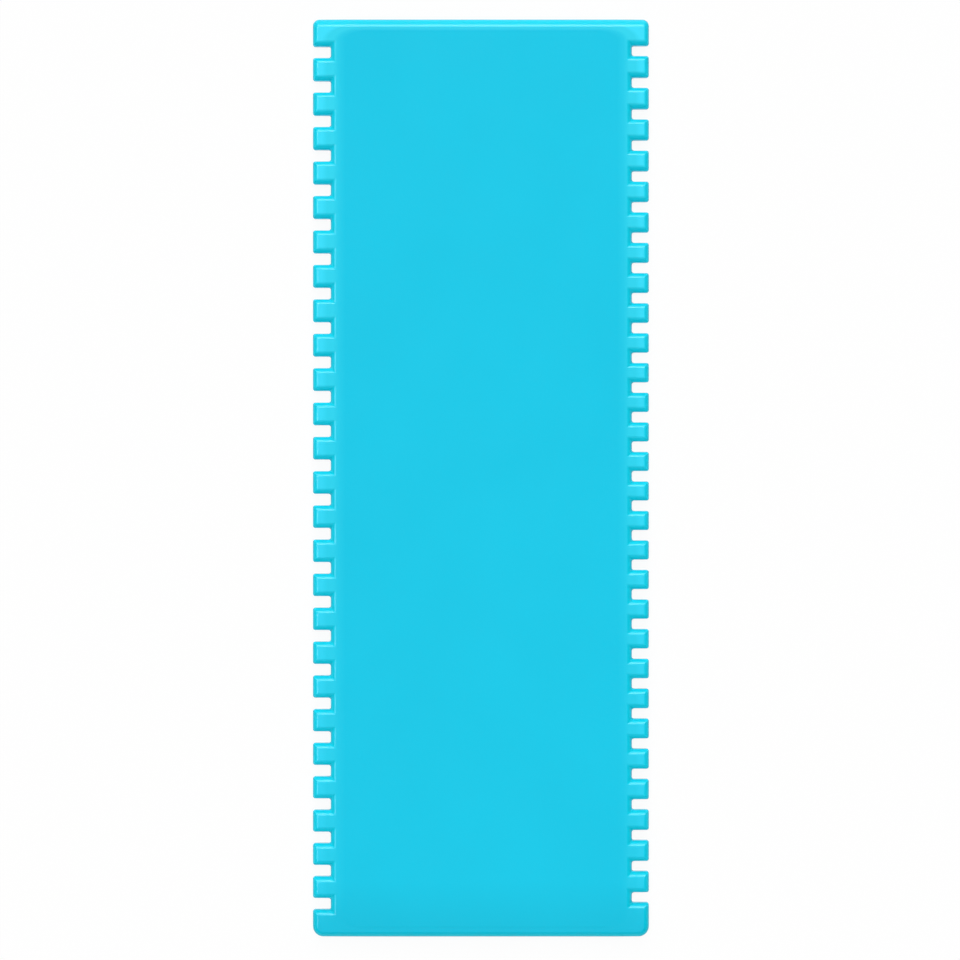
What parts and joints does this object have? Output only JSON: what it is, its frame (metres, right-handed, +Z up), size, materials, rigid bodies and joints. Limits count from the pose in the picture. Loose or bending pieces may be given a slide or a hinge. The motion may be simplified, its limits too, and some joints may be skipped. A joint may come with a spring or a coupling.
{
  "type": "icing smoother",
  "caption": "Tall rigid icing smoother and comb: a flat plate with rounded edges, a row of square-cut notches down each long side and a raised flat field between them",
  "frame": {"origin": "on the surface that the plate lies on, under its middle: it lies on its back, as it does on a worktop", "axes": "+Z up out of the front face, +Y along the plate to the end shown at the top of the picture, +X across it to the right of the picture"},
  "size_m": [0.0842, 0.23, 0.0036],
  "materials": {
    "moulded_plastic": "glossy opaque cyan moulded plastic, slightly translucent at the thin edges"
  },
  "bodies": {
    "root": {"comb_plate": "moulded_plastic"}
  },
  "joints": []
}
